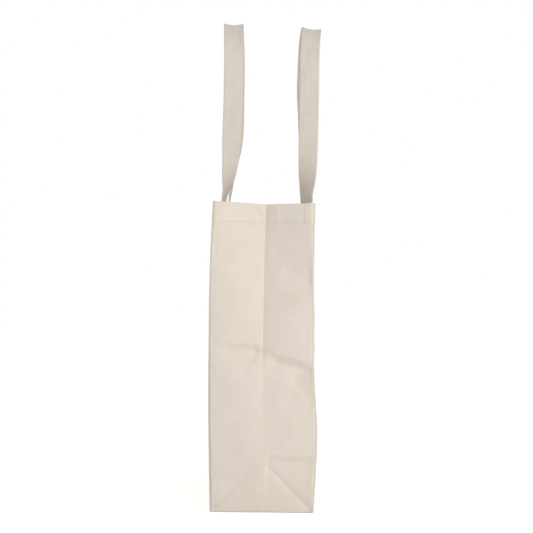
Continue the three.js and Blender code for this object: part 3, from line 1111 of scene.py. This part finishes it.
for side in SIGN:
    outward = (0, SIGN[side], 0)
    hem_route = [(-ROW_END, HEM_ROW), (ROW_END, HEM_ROW)]
    hem_rows = both_faces(FACES[side], [hem_route], outward, HEM)
    finish_thread(sewn(f"{side}_hem_thread", hem_rows), f"{side}_hem_stitching", f"{side}_side")
    for hand in HAND:
        tack_rows = both_faces(FACES[side], tack_routes(HAND[hand] * LEG), outward, HEM + SEAM_GAP + TAPE)
        finish_thread(sewn(f"{side}_{hand}_tack_thread", tack_rows), f"{side}_{hand}_tack", f"{side}_side")
        gusset = FACES[hand, side]
        sideward = (HAND[hand], 0, 0)
        seam_route = [(CORNER_ROW, CORNER_FOOT), (CORNER_ROW, HEM_FOOT)]
        seam_points, seam_normals = on_sheet(gusset, seam_route, sideward)
        seam_row = (seam_points - CORNER_SINK * seam_normals, seam_normals)
        seam_thread = sewn(f"{side}_{hand}_corner_thread", [seam_row])
        finish_thread(seam_thread, f"{side}_{hand}_corner_stitching", f"{side}_side")
        side_route = [(3, HEM_ROW), (GUSSET_HALF - 1, HEM_ROW)]
        side_thread = sewn(f"{hand}_hem_{side}_thread", both_faces(gusset, [side_route], sideward, HEM))
        follow_lean(side_thread, hand, side)
        finish_thread(side_thread, f"{hand}_hem_stitching")
print("hem, tack and corner rows are sewn")

# %% Sew the base and overlock the allowances
BASE_ROW_X = BASE_X - 5
BASE_ROW_Y = BASE_Y - 5
LOCK_PITCH = 2.2
LOCK_WIDTH = 4.0

ring_route = [(-BASE_ROW_X, -BASE_ROW_Y), (BASE_ROW_X, -BASE_ROW_Y), (BASE_ROW_X, BASE_ROW_Y),
              (-BASE_ROW_X, BASE_ROW_Y), (-BASE_ROW_X, -BASE_ROW_Y)]
base_row = on_sheet(base_face, ring_route, (0, 0, -1), CLOTH)
finish_thread(sewn("base_thread", [base_row]), "base_stitching", "box")


def overlock(side, hand):
    """A zigzag thread over the free edge of a seam allowance, as a thin tube."""
    strip = FACES["allowance", hand, side]
    count = round((HEM_FOOT - 8) / LOCK_PITCH)
    turns = np.arange(2 * count + 1)
    route = np.stack([ALLOWANCE - 0.3 - LOCK_WIDTH * (turns % 2), 4 + turns * LOCK_PITCH / 2], -1)
    points, normals = on_sheet(strip, route, (0, SIGN[side], 0), HEM + THREAD_RADIUS / 2)
    ahead = unit(np.gradient(points, axis=0))
    sideways = unit(np.cross(normals, ahead))
    up = np.cross(ahead, sideways)
    angle = np.arange(STITCH_SIDES)[::-1] * math.tau / STITCH_SIDES
    ring = sideways[:, None] * np.cos(angle)[:, None] + up[:, None] * np.sin(angle)[:, None]
    rings = points[:, None] + THREAD_RADIUS * ring
    length = np.arange(len(points)) * 0.6
    return tube(f"{side}_{hand}_overlock_thread", rings, angle * THREAD_RADIUS, length, THREAD)


for side in SIGN:
    for hand in HAND:
        finish_thread(overlock(side, hand), f"{side}_{hand}_overlock", f"{side}_side")
print("base row and overlocked edges are sewn")

# %% [markdown]
# ## Floor, world and light
#
# The photograph was cut out on white, so only the light on the bag can be read from it. It is very soft and
# comes from the right of the picture at about the height of the rim: the straps grow darker towards their
# crest, and the panel's edge on the left is little more than half as bright as the gusset. One large lamp
# and an even sky give that. A weak, wide sun from behind models the sides that the photograph doesn't show.
# The floor and the sky are white where the camera looks at them and plain grey-white for the light that
# reaches the bag, so the cloth keeps its own colour.

# %% Make the floor and the world
FLOOR_SIZE = 8.0
FLOOR_DROP = 0.0004
SKY = 0.77
FLOOR_TONE = 0.8
FLOOR_GLOW = 0.42


def seen_directly(finish):
    """1 for rays from the camera, in a mirror or through glass, else 0."""
    kinds = ("Is Camera Ray", "Is Glossy Ray", "Is Transmission Ray")
    camera_ray, mirror_ray, glass_ray = (finish.node("LightPath", output=kind) for kind in kinds)
    return camera_ray.larger(mirror_ray).larger(glass_ray)


def floor_finish():
    finish = Finish(bpy.data.materials.new("pale_floor"))
    plain = finish.node("BsdfDiffuse", None, {"Color": (FLOOR_TONE, FLOOR_TONE, FLOOR_TONE, 1)})
    glow = finish.node("Emission", None, {"Color": (1, 1, 1, 1), "Strength": FLOOR_GLOW})
    white = finish.node("AddShader", None, {0: plain, 1: glow})
    shader = finish.node("MixShader", None, {0: seen_directly(finish), 1: plain, 2: white})
    finish.node("OutputMaterial", None, {"Surface": shader})
    return finish.owner


half = FLOOR_SIZE / 2
floor_mesh = bpy.data.meshes.new("floor")
square = [(-half, -half), (half, -half), (half, half), (-half, half)]
floor_mesh.from_pydata([(x, y, -FLOOR_DROP) for x, y in square], [], [(0, 1, 2, 3)])
floor_mesh.materials.append(floor_finish())
floor = added("floor", floor_mesh)

world = Finish(bpy.data.worlds.new("soft_sky"))
sky = world.node("Background", None, {"Color": (1, 1, 1, 1), "Strength": SKY})
backdrop = world.node("Background", None, {"Color": (1, 1, 1, 1), "Strength": 1.0})
mixed_sky = world.node("MixShader", None, {0: seen_directly(world), 1: sky, 2: backdrop})
world.node("OutputWorld", None, {"Surface": mixed_sky})
bpy.context.scene.world = world.owner
print("floor and sky are ready")

# %% Hang the soft light
LAMP_AZIMUTH = 38.0
LAMP_DISTANCE = 1.05
LAMP_HEIGHT = 0.40
LAMP_SIZE = 0.7
LAMP_POWER = 3.9

light = bpy.data.lights.new("key_light", "AREA")
light.energy = LAMP_POWER
light.size = LAMP_SIZE
lamp = added("key_light", light)
lamp_turn = Matrix.Rotation(math.radians(LAMP_AZIMUTH), 3, "Z")
lamp.location = lamp_turn @ Vector((LAMP_DISTANCE, 0, 0)) + Vector((0, 0, LAMP_HEIGHT))
lamp.rotation_euler = (lamp_turn @ Matrix.Rotation(math.pi / 2, 3, "Y")).to_euler()
print("lamp at", [round(value, 2) for value in lamp.location])

# %% Add a weak grazing sun for the sides that the photograph doesn't show
FILL_AZIMUTH = -160.0
FILL_HEIGHT = 12.0
FILL_SPREAD = 50.0
FILL_STRENGTH = 0.9

fill = bpy.data.lights.new("fill_light", "SUN")
fill.energy = FILL_STRENGTH
fill.angle = math.radians(FILL_SPREAD)
fill_sun = added("fill_light", fill)
fill_sun.rotation_euler = (0, math.radians(90 - FILL_HEIGHT), math.radians(FILL_AZIMUTH))
bpy.context.scene.view_settings.view_transform = "Standard"
print("fill light", FILL_STRENGTH)
